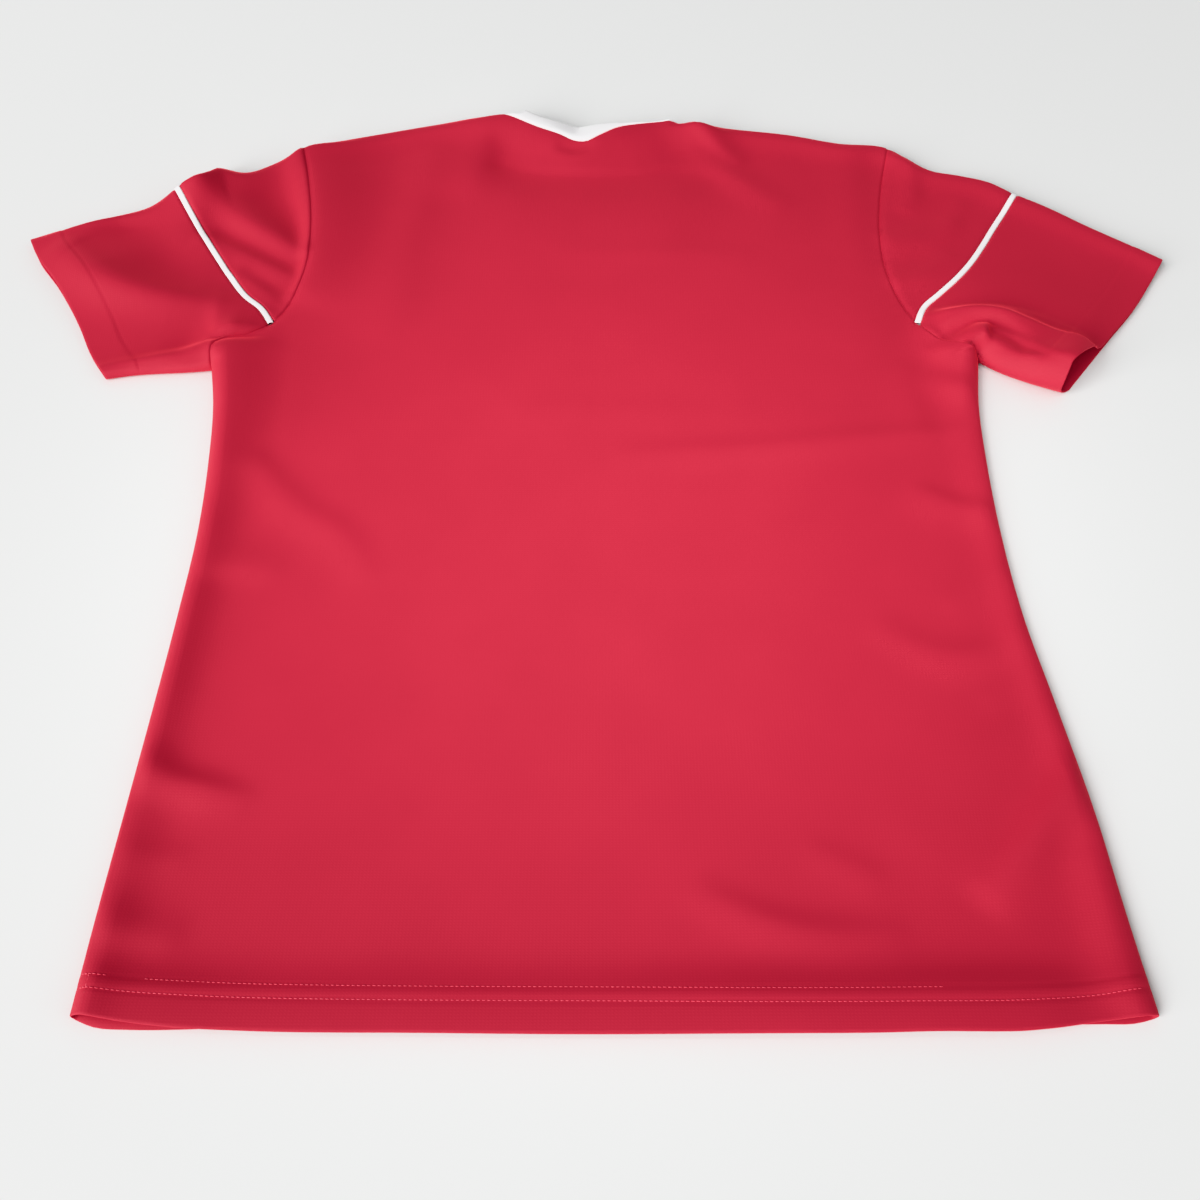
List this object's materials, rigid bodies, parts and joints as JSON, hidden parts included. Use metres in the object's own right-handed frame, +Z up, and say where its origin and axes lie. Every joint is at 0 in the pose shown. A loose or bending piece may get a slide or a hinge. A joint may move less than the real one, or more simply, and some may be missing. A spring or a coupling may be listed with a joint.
{
  "type": "rugby shirt",
  "caption": "Short-sleeved team shirt of red knitted polyester laid flat, back side up, with white piping across the sleeves and a narrow neckband.",
  "frame": {"origin": "on the table under the middle of the shirt, 345 mm from its hem edge, on the front panel's underside", "axes": "+X across the shirt to the picture's right sleeve, +Y from hem to neck, +Z up from the table"},
  "size_m": [0.81, 0.6911, 0.0214],
  "materials": {
    "red_cloth": "fine knitted polyester, matt with a soft sheen",
    "white_trim": "smooth knitted polyester, matt"
  },
  "bodies": {
    "root": {"back": "red_cloth", "front": "red_cloth", "sleeve_cap_left": "red_cloth", "sleeve_cap_right": "red_cloth", "sleeve_lower_left": "red_cloth", "sleeve_lower_right": "red_cloth", "piping_left": "white_trim", "piping_right": "white_trim", "neckband": "white_trim"}
  },
  "joints": []
}
